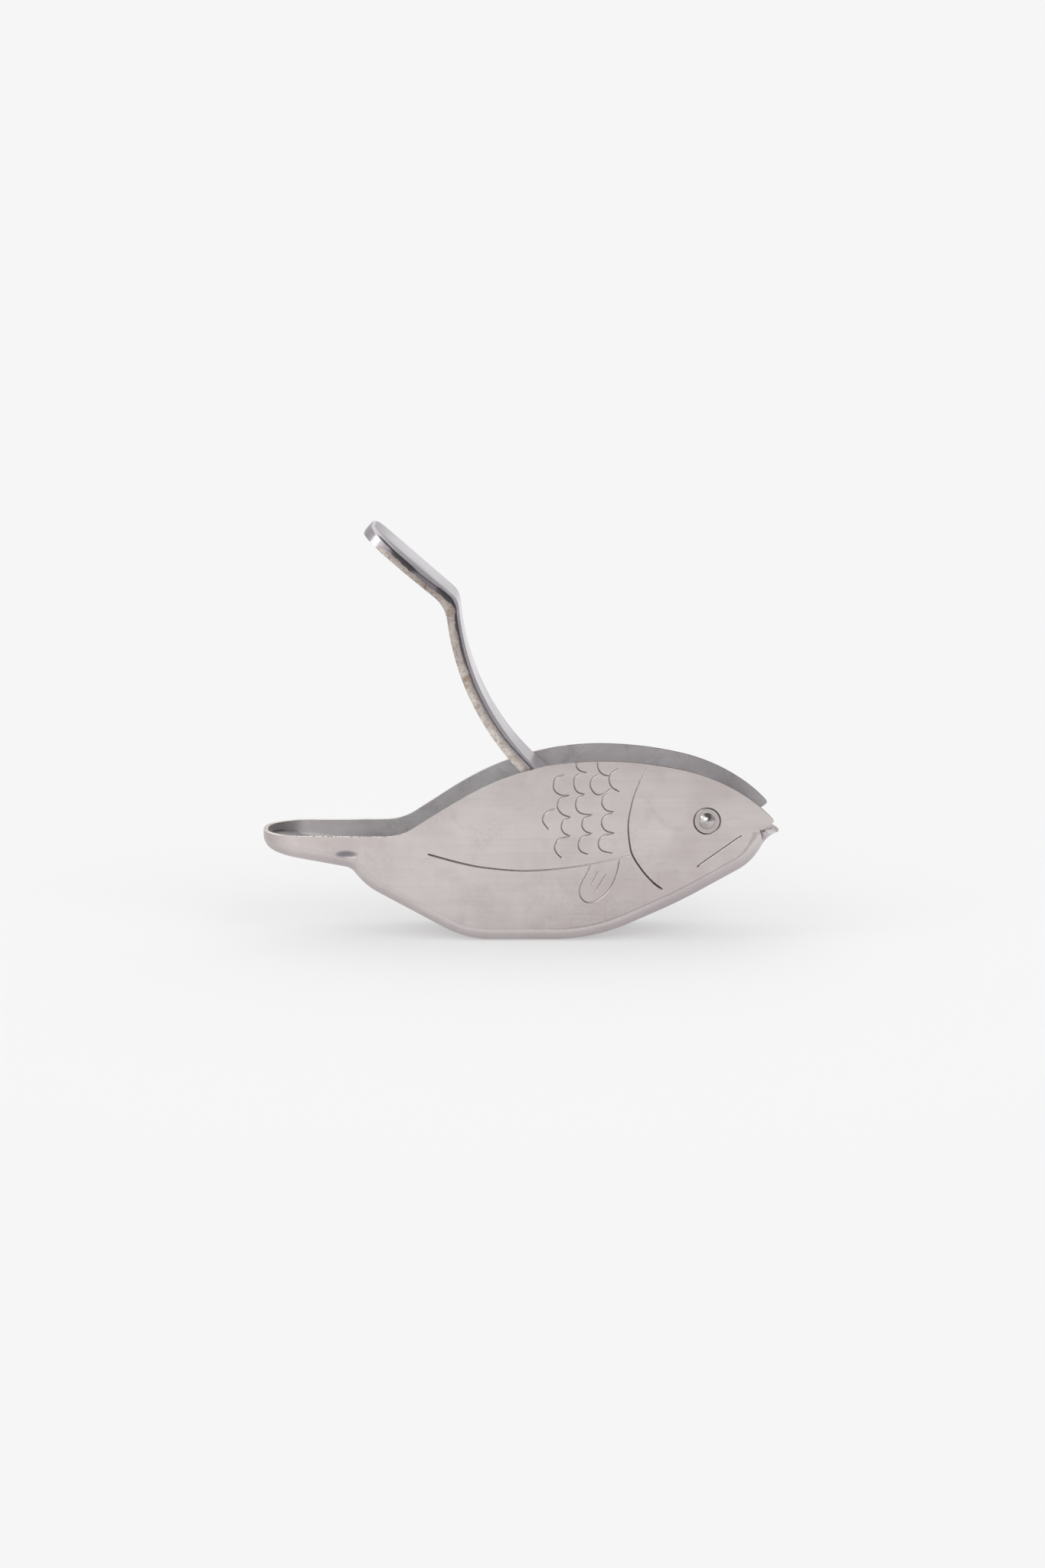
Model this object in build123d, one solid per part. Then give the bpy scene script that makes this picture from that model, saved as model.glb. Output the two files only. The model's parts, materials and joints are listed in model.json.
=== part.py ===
from build123d import *
import os
from math import cos, hypot, radians, sin, sqrt, tan

# Hinged lemon squeezer in the shape of a fish: a pressed stainless trough, a thick strip lever and one pin.
# X runs along the fish with the head at +X, Y across it, Z up. Millimetres.
# The origin lies on the flat of the belly that the squeezer stands on.

# ---- pressed body ----
sheet = 1.0                # thickness of the body sheet
body_width = 23.2          # outside, across the two walls
tail_width = 19.2          # outside, where the tail's round end starts
tail_end_x = -59.5         # outside of the tail's end wall
tail_end_round = 9.2       # plan radius of the tail's corners
taper_start_x = -9.8       # the walls start to close towards the tail here
taper_blend = 90.0         # plan radius of that bend
front_x = 54.2             # outside of the front wall, under the mouth
bottom_round = 3.2         # outside radius between walls and belly

# belly seen from the side: straight runs and the radii that join them
belly_back_x = -13.4       # the back run would meet the flat here
belly_front_x = 15.3       # the front run would meet the flat here
back_slope = 28.2          # degrees
tail_root_x = -35.8        # the back run steepens here
tail_root_slope = 50.0
tail_floor_x = -39.4       # the steep run meets the tail floor
tail_floor_slope = 10.0    # the tail floor rises to its end
front_slope = 24.0
throat_x = 34.7            # the front run steepens here
throat_slope = 29.3
belly_back_radius = 22.0
belly_front_radius = 42.0
tail_root_radius = 15.0
tail_floor_radius = 3.0
throat_radius = 120.0
chin_radius = 12.0

# rim seen from the side: places (x, z) on the fish's back and mouth, joined by tangent arcs
tail_rim_z = 23.9
tail_blend_radius = 12.0   # hollow sweep from the tail rim up to the back
back_shoulder = (-16.5, 31.4)
back_joint = (-4.1, 37.6)
back_top = (17.0, 41.4)
neck = (36.0, 39.2)
brow = (51.0, 32.3)
snout_tip = (front_x + 1.8, 27.7)
mouth_corner = (front_x - 1.6, 25.3)
mouth_slope = 19.0         # degrees, fall of the mouth's lower edge towards the lip

# pouring lip: a small bowl that flares out, turned about an upright line inside the mouth
lip_axis_x = front_x - 3.6
lip_bowl_radius = 3.2
lip_bowl_z = 20.65         # height of the bowl's centre
lip_root_slope = 65.0      # degrees, where the bowl turns into the flare
lip_flare_radius = 8.9
lip_edge_slope = 25.0

# ---- hinge ----
eye_x = 40.8
eye_z = 27.8
pin_radius = 1.6
pin_clearance = 0.05       # radial, in the ears and the spacers
wall_bore_clearance = 0.02
dome_radius = 1.85         # the peened ends of the pin
dome_height = 0.9
spacer_radius = 3.2
spacer_clearance = 0.1     # between a spacer and its ear, along the pin

# ---- lever ----
strip = 3.0                # thickness of the lever strip
arm_width = 18.4
pad_width = 22.0
pad_length = 24.4          # along the pad, from the knee to the tip
pad_corner = 7.5           # plan radius of the tip's corners
pad_widen_start = 4.0      # along the pad, where the strip starts to widen
pad_widen_end = 11.0
widen_blend = 12.0
top_edge_round = 0.9       # rolled upper edges of the blanked strip; the lower ones stay crisp
arm_radius = 59.6          # underside of the press arm
arm_centre = (41.8, 80.0)
knee_under = (-17.55, 75.7)  # the pad's underside would meet the arm's here
pad_slope = 41.0           # degrees, fall of the pad towards the knee
knee_inner_radius = 8.0
knee_outer_radius = 5.0
ear_thickness = 3.2
ear_radius = 5.4           # round top of the ears, about the pin
ear_foot_back = 6.5        # the ears' foot starts this far behind the pin
strip_overrun = 5.4        # and the strip ends this far in front of it

# ---- reach of the blocks and faces that only cut ----
tall = 1.5 * back_top[1]   # up, past the body's top
under = -1.0               # down, below the belly
end_room = 8.0             # forwards and backwards, past the body's ends
long_reach = 2 * arm_radius  # past the lever's tip and hinge end
touch = 0.01               # places this close count as one


def rise(run, degrees):
    return run * tan(radians(degrees))


def ring(*points):
    """Straight lines from point to point and back to the first."""
    return Polyline(*points, points[0])


def side_face(*lines):
    """A closed face from lines drawn with x along X and y along Z."""
    return Plane.XZ * make_face([edge for line in lines for edge in line.edges()])


def slab(face, inner, outer):
    """The side face as two slabs, from inner to outer on both sides of the middle plane."""
    one = extrude(Pos(0, inner, 0) * face, -(outer - inner))
    return one + mirror(one, Plane.XZ)


def on_pin(piece):
    """Stand a piece that was turned about Z on the pin's line, across the body."""
    return Pos(eye_x, 0, eye_z) * Rot(90, 0, 0) * piece


# ---- body ----
def belly_line(inset):
    """Side view of the trough's underside, moved inwards by inset."""
    root_z = rise(belly_back_x - tail_root_x, back_slope)
    floor_z = root_z + rise(tail_root_x - tail_floor_x, tail_root_slope)
    past_tail = tail_end_x - tall
    past_tail_z = floor_z + rise(tail_floor_x - past_tail, tail_floor_slope)
    throat_z = rise(throat_x - belly_front_x, front_slope)
    chin_z = throat_z + rise(front_x - throat_x, throat_slope)
    line = FilletPolyline(
        (past_tail, past_tail_z),
        (tail_floor_x, floor_z),
        (tail_root_x, root_z),
        (belly_back_x, 0),
        (belly_front_x, 0),
        (throat_x, throat_z),
        (front_x, chin_z),
        (front_x, tall),
        radius=[tail_floor_radius, tail_root_radius, belly_back_radius,
                belly_front_radius, throat_radius, chin_radius],
    )
    return offset(line, inset, side=Side.LEFT, closed=False) if inset else line


def pan(inset):
    """Solid block of the trough's outside, or of its inside when inset is the sheet."""
    line = belly_line(inset)
    roof = Polyline(line @ 1, ((line @ 0).X, tall), line @ 0)
    block = slab(side_face(line, roof), 0, body_width)
    half = body_width / 2 - inset
    tail_half = tail_width / 2 - inset
    corner = tail_end_round - inset
    outline = FilletPolyline(
        (front_x + tall, -half),
        (taper_start_x, -half),
        (tail_end_x + inset, -tail_half),
        (tail_end_x + inset, tail_half),
        (taper_start_x, half),
        (front_x + tall, half),
        radius=[taper_blend, corner, corner, taper_blend],
    )
    walls = make_face([*outline.edges(), Line(outline @ 1, outline @ 0)])
    block = block & extrude(walls, tall + sheet, both=True)
    return fillet(bottom_bends(block, half, inset), bottom_round - inset)


def bottom_bends(block, half, inset):
    """Edges where the walls meet the belly, with the two upright ones beside the front wall."""
    bends = []
    for edge in block.edges():
        middle = edge.center()
        size = edge.bounding_box().size
        upright = size.X < touch and size.Y < touch
        across = abs(middle.Y) < touch and size.Y > half
        at_front = middle.X > front_x - inset - touch
        at_roof = middle.Z > tall - touch
        if not at_roof and not across and (at_front or not upright):
            bends.append(edge)
    return bends


def lip(inset):
    """The pouring lip's bowl and flare, solid to its inside when inset is the sheet."""
    radius = lip_bowl_radius - inset
    turn = radians(lip_root_slope)
    bowl = CenterArc((0, lip_bowl_z), radius, -90, lip_root_slope)
    flare_turn = lip_edge_slope - lip_root_slope
    flare = JernArc(bowl @ 1, (cos(turn), sin(turn)), lip_flare_radius + inset, flare_turn)
    top = flare @ 1
    roof = Polyline(top, (top.X, snout_tip[1]), (0, snout_tip[1]), bowl @ 0)
    return Pos(lip_axis_x, 0, 0) * revolve(side_face(bowl, flare, roof), Axis.Z)


def rim_lines():
    """Side view of the rim, from the tail over the back to the snout."""
    back = TangentArc(back_top, back_joint, tangent=(-1, 0))
    shoulder = TangentArc(back_joint, back_shoulder, tangent=back % 1)
    fall = (shoulder % 1).normalized()
    sweep_drop = tail_blend_radius * (1 + fall.X)
    length = (back_shoulder[1] - tail_rim_z - sweep_drop) / -fall.Y
    foot = shoulder @ 1 + fall * length
    hollow_end = (foot.X - tail_blend_radius * -fall.Y, tail_rim_z)
    hollow = TangentArc(foot, hollow_end, tangent=fall)
    tail = Line(hollow @ 1, (tail_end_x - end_room, tail_rim_z))
    neck_arc = TangentArc(back_top, neck, tangent=(1, 0))
    brow_arc = TangentArc(neck, brow, tangent=neck_arc % 1)
    snout = TangentArc(brow, snout_tip, tangent=brow_arc % 1)
    return [tail, hollow, Line(shoulder @ 1, foot), shoulder, back, neck_arc, brow_arc, snout]


def below_rim(*mouth):
    """Side face of all that lies below the rim, closed through the given points of the mouth."""
    back_end = tail_end_x - end_room
    points = [snout_tip, *mouth, (back_end, under), (back_end, tail_rim_z)]
    return side_face(*rim_lines(), Polyline(*points))


def make_body():
    """Pan and lip as one sheet, cut to the rim and mouth, with the side walls run on to the fish's jaws."""
    half = body_width / 2
    reach = front_x + end_room
    corner_x, corner_z = mouth_corner
    past_lip = (reach, corner_z - rise(reach - corner_x, mouth_slope))
    flat_end = front_x - bottom_round
    jaw_back = flat_end - sheet
    pressed = pan(0) + lip(0) - pan(sheet) - lip(sheet)
    pressed &= slab(below_rim((reach, snout_tip[1]), (reach, under)), 0, half)
    mouth = ring((flat_end, tall), (flat_end, corner_z), mouth_corner, past_lip, (reach, tall))
    pressed -= slab(side_face(mouth), 0, half)
    window = ring((jaw_back, corner_z), (jaw_back, tall), (reach, tall), (reach, corner_z))
    jaw = below_rim(mouth_corner, (jaw_back, corner_z), (jaw_back, under)) & side_face(window)
    eyes = on_pin(Cylinder(pin_radius + wall_bore_clearance, body_width + sheet))
    return pressed + slab(jaw, half - sheet, half) - eyes


# ---- hinge ----
def make_pin():
    half = body_width / 2
    reach = half + dome_height
    axis = Line((0, reach), (0, -reach))
    near_dome = TangentArc((0, -reach), (dome_radius, -half), tangent=(1, 0))
    shank = Polyline((dome_radius, -half), (pin_radius, -half), (pin_radius, half), (dome_radius, half))
    far_dome = TangentArc((0, reach), (dome_radius, half), tangent=(1, 0))
    return on_pin(revolve(side_face(axis, near_dome, shank, far_dome), Axis.Z))


def make_spacer(side):
    """Washer against the wall on the given side, -1 near or 1 far."""
    gap = body_width / 2 - sheet - arm_width / 2
    thick = gap - spacer_clearance
    washer = Cylinder(spacer_radius, thick) - Cylinder(pin_radius + pin_clearance, thick)
    return on_pin(Pos(0, 0, -side * (body_width / 2 - sheet - thick / 2)) * washer)


# ---- lever ----
def pad_point(along, above):
    """A place on the pad: along it from the knee corner towards the tip, above its underside."""
    c = cos(radians(pad_slope))
    s = sin(radians(pad_slope))
    return (knee_under[0] - along * c + above * s, knee_under[1] + along * s + above * c)


def crossing(start, end, radius):
    """Where the line from start towards end first meets the circle of this radius about the arm's centre."""
    size = hypot(end[0] - start[0], end[1] - start[1])
    along = ((end[0] - start[0]) / size, (end[1] - start[1]) / size)
    off = (start[0] - arm_centre[0], start[1] - arm_centre[1])
    level_run = off[0] * along[0] + off[1] * along[1]
    travel = -level_run - sqrt(level_run ** 2 - off[0] ** 2 - off[1] ** 2 + radius ** 2)
    return (start[0] + travel * along[0], start[1] + travel * along[1])


def arm_height(x, radius):
    """Height of the arc about the arm's centre, under that centre."""
    return arm_centre[1] - sqrt(radius ** 2 - (x - arm_centre[0]) ** 2)


def arc_to_end(start, radius):
    """Arc about the arm's centre from start to the strip's cut end."""
    end_x = eye_x + strip_overrun
    middle_x = (start[0] + end_x) / 2
    return ThreePointArc(start, (middle_x, arm_height(middle_x, radius)), (end_x, arm_height(end_x, radius)))


def lever_side():
    """Side view of the strip at rest: pad, knee and press arm."""
    top_radius = arm_radius - strip
    tip_under, tip_top = pad_point(pad_length, 0), pad_point(pad_length, strip)
    knee_low = crossing(tip_under, knee_under, arm_radius)
    knee_high = crossing(tip_top, pad_point(0, strip), top_radius)
    under = arc_to_end(knee_low, arm_radius)
    top = arc_to_end(knee_high, top_radius)
    outline = [Line(tip_under, knee_low), under, Line(under @ 1, top @ 1), top,
               Line(knee_high, tip_top), Line(tip_top, tip_under)]
    face = make_face(outline)
    for corner, radius in ((knee_low, knee_inner_radius), (knee_high, knee_outer_radius)):
        face = fillet(face.vertices().sort_by_distance((*corner, 0))[0], radius)
    return Plane.XZ * face


def strip_outline():
    """The strip's outline seen square on to the pad, as a tall block."""
    half = arm_width / 2
    wide = pad_width / 2
    line = FilletPolyline(
        (-long_reach, -half),
        (pad_widen_start, -half),
        (pad_widen_end, -wide),
        (pad_length, -wide),
        (pad_length, wide),
        (pad_widen_end, wide),
        (pad_widen_start, half),
        (-long_reach, half),
        radius=[widen_blend, widen_blend, pad_corner, pad_corner, widen_blend, widen_blend],
    )
    face = make_face([*line.edges(), Line(line @ 1, line @ 0)])
    x, z = pad_point(0, 0)
    along_x, along_z = pad_point(1, 0)
    above_x, above_z = pad_point(0, 1)
    pad_plane = Plane((x, 0, z), x_dir=(along_x - x, 0, along_z - z), z_dir=(above_x - x, 0, above_z - z))
    return extrude(pad_plane * face, long_reach, both=True)


def level(point):
    """Height of a point above the strip's underside."""
    across_x, across_z = point.X - knee_under[0], point.Z - knee_under[1]
    c = cos(radians(pad_slope))
    s = sin(radians(pad_slope))
    if across_z * s > across_x * c:
        return across_x * s + across_z * c
    return arm_radius - hypot(point.X - arm_centre[0], point.Z - arm_centre[1])


def top_edges(blank):
    """Upper edges that run along the strip and round its tip, not the cut across its end."""
    return [edge for edge in blank.edges()
            if edge.bounding_box().size.Y < arm_width - touch
            and all(abs(level(edge @ end) - strip) < strip / 2 for end in (0, 1))]


def make_lever():
    half = arm_width / 2
    blank = slab(lever_side(), 0, pad_width) & strip_outline()
    blank = fillet(top_edges(blank), top_edge_round)
    foot_z = arm_centre[1] - arm_radius + strip / 2
    foot = Line((eye_x - ear_foot_back, foot_z), (eye_x + strip_overrun, foot_z))
    ear = Plane.XZ * make_hull([*CenterArc((eye_x, eye_z), ear_radius, 0, 360).edges(), *foot.edges()])
    blank = blank + slab(ear, half - ear_thickness, half)
    return blank - on_pin(Cylinder(pin_radius + pin_clearance, body_width))


pieces = {
    "body_shell": make_body(),
    "hinge_pin": make_pin(),
    "near_spacer": make_spacer(-1),
    "far_spacer": make_spacer(1),
    "lever": make_lever(),
}

os.makedirs("parts", exist_ok=True)
for name, piece in pieces.items():
    export_step(piece, f"parts/{name}.step")
    print(name, round(piece.volume, 1), len(piece.solids()), piece.bounding_box())
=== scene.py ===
import json
import math

import bmesh
import bpy
from mathutils import Matrix, Vector
from mathutils.bvhtree import BVHTree


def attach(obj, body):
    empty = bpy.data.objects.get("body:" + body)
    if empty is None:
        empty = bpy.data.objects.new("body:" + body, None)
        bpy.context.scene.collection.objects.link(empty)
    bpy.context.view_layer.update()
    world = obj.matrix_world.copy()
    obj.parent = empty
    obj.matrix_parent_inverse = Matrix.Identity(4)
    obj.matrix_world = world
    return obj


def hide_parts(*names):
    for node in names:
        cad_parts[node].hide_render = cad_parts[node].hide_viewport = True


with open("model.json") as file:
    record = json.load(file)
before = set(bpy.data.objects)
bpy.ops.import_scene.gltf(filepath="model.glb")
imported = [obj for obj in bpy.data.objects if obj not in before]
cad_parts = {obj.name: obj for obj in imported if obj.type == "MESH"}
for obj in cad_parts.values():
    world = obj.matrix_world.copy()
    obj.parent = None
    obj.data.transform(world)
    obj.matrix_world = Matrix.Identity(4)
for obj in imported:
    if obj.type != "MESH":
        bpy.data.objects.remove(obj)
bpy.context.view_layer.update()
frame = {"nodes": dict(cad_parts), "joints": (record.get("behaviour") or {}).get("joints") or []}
mm = 0.001
hingeAt = {joint["name"]: joint["pos_m"] for joint in frame["joints"]}["lever_hinge"]
halfWidth = max(vert.co.y for vert in frame["nodes"]["body_shell"].data.vertices)
print("frame loaded:", ", ".join(sorted(frame["nodes"])))


# shader maths
class Wire:
    # a shader socket that can take part in sums

    def __init__(self, board, socket):
        self.board = board
        self.socket = socket

    def __add__(self, other):
        return self.board.calculate("ADD", self, other)

    def __radd__(self, other):
        return self.board.calculate("ADD", other, self)

    def __sub__(self, other):
        return self.board.calculate("SUBTRACT", self, other)

    def __rsub__(self, other):
        return self.board.calculate("SUBTRACT", other, self)

    def __mul__(self, other):
        return self.board.calculate("MULTIPLY", self, other)

    def __rmul__(self, other):
        return self.board.calculate("MULTIPLY", other, self)

    def __truediv__(self, other):
        return self.board.calculate("DIVIDE", self, other)

    def __rtruediv__(self, other):
        return self.board.calculate("DIVIDE", other, self)

    def __pow__(self, other):
        return self.board.calculate("POWER", self, other)

    def __rpow__(self, other):
        return self.board.calculate("POWER", other, self)

    def __neg__(self):
        return self.board.calculate("MULTIPLY", self, -1.0)

    def __abs__(self):
        return self.board.calculate("ABSOLUTE", self, 0.0)


class Board:
    # one node tree, filled by make()

    def __init__(self, tree):
        self.tree = tree
        tree.nodes.clear()

    def make(self, kind, settings=None, out=0, **inputs):
        # out is an output's name or number, or a tuple of them for a list of wires
        node = self.tree.nodes.new(kind)
        for name, value in (settings or {}).items():
            setattr(node, name, value)
        for name, value in inputs.items():
            self.feed(self.findInput(node, name), value)
        if isinstance(out, tuple):
            return [Wire(self, node.outputs[name]) for name in out]
        return Wire(self, node.outputs[out]) if node.outputs else node

    def findInput(self, node, name):
        # "Base_Color" is the socket Base Color, and "i1" the second socket
        if name[0] == "i" and name[1:].isdigit():
            return node.inputs[int(name[1:])]
        return node.inputs[name.replace("_", " ")]

    def feed(self, socket, value):
        if isinstance(value, Wire):
            self.tree.links.new(value.socket, socket)
        else:
            socket.default_value = value

    def calculate(self, operation, left, right):
        return self.make("ShaderNodeMath", {"operation": operation}, i0=left, i1=right)

    def most(self, left, right):
        return self.calculate("MAXIMUM", left, right)

    def ramp(self, value, reach, unit=1.0):
        # smooth step, 0 at the first value of the reach and 1 at the second
        return self.make("ShaderNodeMapRange", {"interpolation_type": "SMOOTHSTEP"}, Value=value,
                         From_Min=reach[0] * unit, From_Max=reach[1] * unit)

    def band(self, value, reaches, unit=1.0):
        # rises over the first reach and falls over the second
        rise, fall = reaches
        return self.ramp(value, rise, unit) * (1 - self.ramp(value, fall, unit))

    def place(self):
        return self.make("ShaderNodeTexCoord", out="Object")

    def axes(self, vector, names="XYZ"):
        return self.make("ShaderNodeSeparateXYZ", out=tuple(names), Vector=vector)

    def facing(self, axis):
        # how far the surface faces along an axis, -1 to 1
        return self.axes(self.make("ShaderNodeTexCoord", out="Normal"), axis)[0]

    def stretch(self, vector, amounts):
        return self.make("ShaderNodeVectorMath", {"operation": "MULTIPLY"}, i0=vector, i1=amounts)

    def noise(self, vector, layer):
        # layer: scale, detail, roughness and, where it is twisted, distortion
        names = ("Scale", "Detail", "Roughness", "Distortion")
        return self.make("ShaderNodeTexNoise", Vector=vector, **dict(zip(names, layer)))

    def patches(self, vector, layer):
        # layer: a noise, and the two levels between which its patches show
        noise, reach = layer
        return self.ramp(self.noise(vector, noise), reach)

    def blend(self, amount, first, second):
        # colours from first to second; sockets 6 and 7 and output 2 are the node's colours
        return self.make("ShaderNodeMix", {"data_type": "RGBA"}, out=2,
                         i0=amount, i6=first, i7=second)

    def bump(self, height, strength, depth):
        return self.make("ShaderNodeBump", Height=height, Strength=strength, Distance=depth * mm)

    def straightRays(self):
        # 1 for what the camera sees itself or through glass
        camera, glass = self.make("ShaderNodeLightPath",
                                  out=("Is Camera Ray", "Is Transmission Ray"))
        return self.most(camera, glass)


def colour(red, green, blue):
    # screen values 0 to 255 as scene colour
    def plain(level):
        level = level / 255
        return level / 12.92 if level <= 0.04045 else ((level + 0.055) / 1.055) ** 2.4
    return (plain(red), plain(green), plain(blue), 1.0)


def newMaterial(name):
    material = bpy.data.materials.new(name)
    material.use_nodes = True
    return material, Board(material.node_tree)


def finishMetal(board, metal=1.0, **inputs):
    surface = board.make("ShaderNodeBsdfPrincipled", Metallic=metal, **inputs)
    board.make("ShaderNodeOutputMaterial", Surface=surface)


# meshes
meshing = {
    "weld": 0.0004,  # mm, points closer than this are one
    "sharp": 30.0, "crispBorder": 5.0, "roundFrom": 50.0,  # degrees between two faces
    "areaWeight": 100,  # how strongly large faces lead the shading
}


def copyOf(nodeName, newName):
    source = frame["nodes"][nodeName]
    piece = bpy.data.objects.new(newName, source.data.copy())
    bpy.context.scene.collection.objects.link(piece)
    piece.data.materials.clear()
    form = bmesh.new()
    form.from_mesh(piece.data)
    bmesh.ops.remove_doubles(form, verts=form.verts, dist=meshing["weld"] * mm)
    bmesh.ops.dissolve_degenerate(form, edges=form.edges, dist=meshing["weld"] * mm)
    form.to_mesh(piece.data)
    form.free()
    return piece


def applyAll(piece):
    bpy.context.view_layer.update()
    ready = piece.evaluated_get(bpy.context.evaluated_depsgraph_get())
    mesh = bpy.data.meshes.new_from_object(ready)
    piece.modifiers.clear()
    old = piece.data
    piece.data = mesh
    bpy.data.meshes.remove(old)


def roundEdges(piece, chosen, look):
    # a small round on the sharp edges that chosen() picks
    form = bmesh.new()
    form.from_mesh(piece.data)
    least = math.radians(meshing["roundFrom"])
    edges = [edge for edge in form.edges
             if edge.is_manifold and edge.calc_face_angle(0) > least and chosen(edge)]
    bmesh.ops.bevel(form, geom=edges, offset=look["round"] * mm, offset_type="OFFSET",
                    segments=look["segments"], profile=0.5, affect="EDGES", clamp_overlap=True)
    form.to_mesh(piece.data)
    form.free()
    print("rounded", len(edges), "edges of", piece.name)


def shadeByAngle(piece):
    # round parts smooth, edges and the borders of grooves crisp, flats true
    mesh = piece.data
    mesh.shade_smooth()
    mesh.set_sharp_from_angle(angle=math.radians(meshing["sharp"]))
    form = bmesh.new()
    form.from_mesh(mesh)
    for edge in form.edges:
        finishes = {face.material_index for face in edge.link_faces}
        if len(finishes) > 1 and edge.calc_face_angle(0) > math.radians(meshing["crispBorder"]):
            edge.smooth = False
    form.to_mesh(mesh)
    form.free()
    weigh = piece.modifiers.new("weigh", "WEIGHTED_NORMAL")
    weigh.mode = "FACE_AREA"
    weigh.weight = meshing["areaWeight"]
    weigh.keep_sharp = True
    applyAll(piece)


def share(value, low, high):
    # how far value has come from low to high, 0 to 1
    return min(1.0, max(0.0, (value - low) / (high - low)))


def inMm(length):
    # a length of the frame in mm, to the thousandth
    return round(length / mm, 3)


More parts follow.
